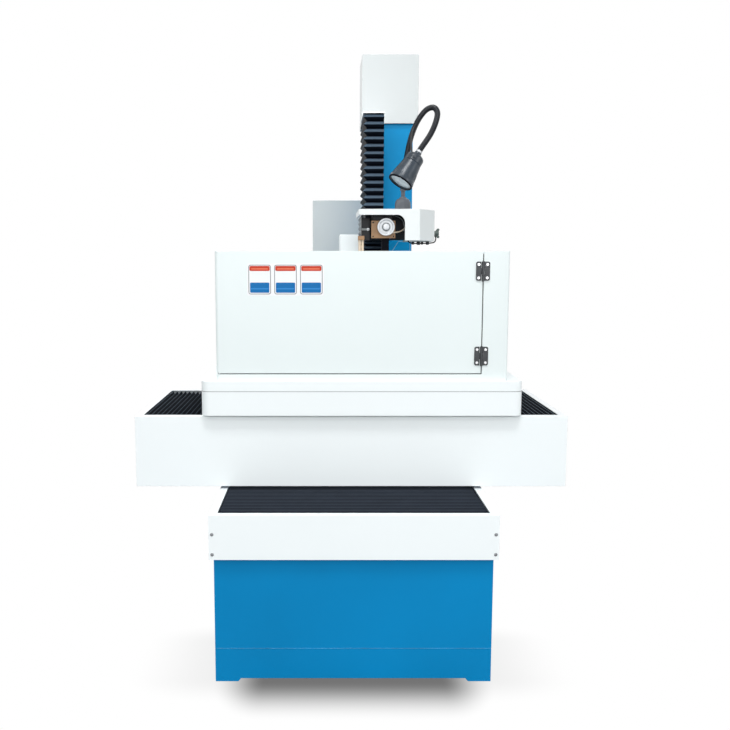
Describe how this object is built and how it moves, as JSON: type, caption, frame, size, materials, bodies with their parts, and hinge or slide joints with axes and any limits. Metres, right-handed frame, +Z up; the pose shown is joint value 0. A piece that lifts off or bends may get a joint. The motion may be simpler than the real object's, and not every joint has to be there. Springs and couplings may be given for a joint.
{
  "type": "wire electrical discharge machine",
  "caption": "Floor-standing wire-cut spark machine with crossed slides under bellows, water tray, hinged splash guard, column with taper head and work lamp.",
  "frame": {"origin": "centre of the machine's box at floor level", "axes": "+Z up, +X to the operator's right along the table's long travel, +Y to the back towards the column"},
  "size_m": [1.4, 1.6216, 2.068],
  "materials": {
    "blue_paint": "semi-gloss enamel with a slight orange peel",
    "white_paint": "satin powder coat",
    "grey_paint": "satin paint",
    "bellows": "coated cloth with a dull sheen",
    "rail_steel": "ground steel",
    "carriage_steel": "machined steel",
    "bright_steel": "turned and polished",
    "dark_hinge": "dark zinc",
    "brass": "turned",
    "brown_board": "laminated insulating board",
    "cream_tube": "soft sheen",
    "black_motor": "black paint",
    "lamp_black": "fine matte texture",
    "lens": "frosted",
    "knob_plastic": "moulded"
  },
  "bodies": {
    "bed": {"bed_casting": "blue_paint", "y_front_cover": "white_paint", "y_cover_left": "white_paint", "y_cover_right": "white_paint", "cover_screws": "bright_steel", "y_rails": "rail_steel", "y_bellows_front": "bellows", "y_bellows_rear": "bellows", "column_casting": "blue_paint", "column_top_cover": "white_paint", "z_beam": "rail_steel", "z_bellows_top": "bellows", "z_bellows_low": "bellows", "lower_arm": "blue_paint", "lower_nozzle": "brass", "drum_shield": "grey_paint", "wire_guide_cover": "white_paint", "drum_stand": "blue_paint"},
    "saddle": {"saddle_casting": "blue_paint", "saddle_front_cover": "white_paint", "saddle_rear_cover": "white_paint", "saddle_left_cover": "white_paint", "saddle_right_cover": "white_paint", "y_carriages": "carriage_steel", "x_rails": "rail_steel", "x_bellows_left": "bellows", "x_bellows_right": "bellows"},
    "table": {"table_casting": "blue_paint", "x_carriages": "carriage_steel", "water_tray": "white_paint", "tray_lip": "white_paint", "splash_guard": "white_paint", "worktable_frame": "rail_steel", "worktable_posts": "carriage_steel", "hinge_fixed_leaves": "dark_hinge", "hinge_pins": "dark_hinge", "guard_screws": "bright_steel"},
    "door": {"door_panel": "white_paint", "hinge_door_leaves": "dark_hinge", "door_screws": "bright_steel"},
    "lower_wheel": {"lower_guide_wheel": "bright_steel"},
    "z_head": {"z_carriage": "carriage_steel", "upper_arm": "black_motor", "head_cover": "white_paint", "tube_manifold": "brown_board", "coolant_tubes": "cream_tube", "lamp_foot": "lamp_black", "lamp_arm": "lamp_black", "lamp_head": "lamp_black", "lamp_lens": "lens"},
    "knob": {"clamp_knob": "knob_plastic"},
    "switch": {"lamp_switch": "lamp_black"},
    "taper_v": {"v_slide": "black_motor", "taper_motor": "black_motor"},
    "taper_u": {"u_slide": "black_motor", "taper_plate": "brown_board", "upper_nozzle": "black_motor"},
    "front_wheel": {"guide_wheel": "bright_steel"},
    "drum_slide": {"drum_carriage": "grey_paint"},
    "drum": {"wire_drum": "bright_steel"}
  },
  "joints": [
    {"name": "saddle_y", "type": "slide", "parent": "bed", "child": "saddle", "axis": [0, 1, 0], "range_m": [-0.15, 0.12], "deforming": ["y_bellows_front", "y_bellows_rear"]},
    {"name": "table_x", "type": "slide", "parent": "saddle", "child": "table", "axis": [1, 0, 0], "range_m": [-0.17, 0.15], "deforming": ["x_bellows_left", "x_bellows_right"]},
    {"name": "door_hinge", "type": "hinge", "parent": "table", "child": "door", "pos_m": [0.4125, -0.5309, 1.09], "axis": [0, 0, 1], "range_deg": [0, 120]},
    {"name": "z_slide", "type": "slide", "parent": "bed", "child": "z_head", "axis": [0, 0, 1], "range_m": [-0.1, 0.2], "deforming": ["z_bellows_top", "z_bellows_low"]},
    {"name": "taper_v", "type": "slide", "parent": "z_head", "child": "taper_v", "axis": [0, 1, 0], "range_m": [-0.015, 0.015]},
    {"name": "taper_u", "type": "slide", "parent": "taper_v", "child": "taper_u", "axis": [1, 0, 0], "range_m": [-0.015, 0.015]},
    {"name": "front_wheel_spin", "type": "hinge", "parent": "taper_u", "child": "front_wheel", "pos_m": [0.126, -0.2472, 1.376], "axis": [0, 1, 0], "continuous": true},
    {"name": "lower_wheel_spin", "type": "hinge", "parent": "bed", "child": "lower_wheel", "pos_m": [0.126, -0.1882, 0.935], "axis": [1, 0, 0], "continuous": true},
    {"name": "knob_turn", "type": "hinge", "parent": "z_head", "child": "knob", "pos_m": [0.302, -0.1492, 1.357], "axis": [1, 0, 0], "continuous": true},
    {"name": "lamp_switch_press", "type": "slide", "parent": "z_head", "child": "switch", "axis": [0.0041, 0.959, -0.2832], "range_m": [0, 0.002], "stiffness_N_per_m": 400},
    {"name": "drum_traverse", "type": "slide", "parent": "bed", "child": "drum_slide", "axis": [1, 0, 0], "range_m": [-0.035, 0.035]},
    {"name": "drum_spin", "type": "hinge", "parent": "drum_slide", "child": "drum", "pos_m": [-0.09, 0.6908, 0.93], "axis": [1, 0, 0], "continuous": true}
  ]
}
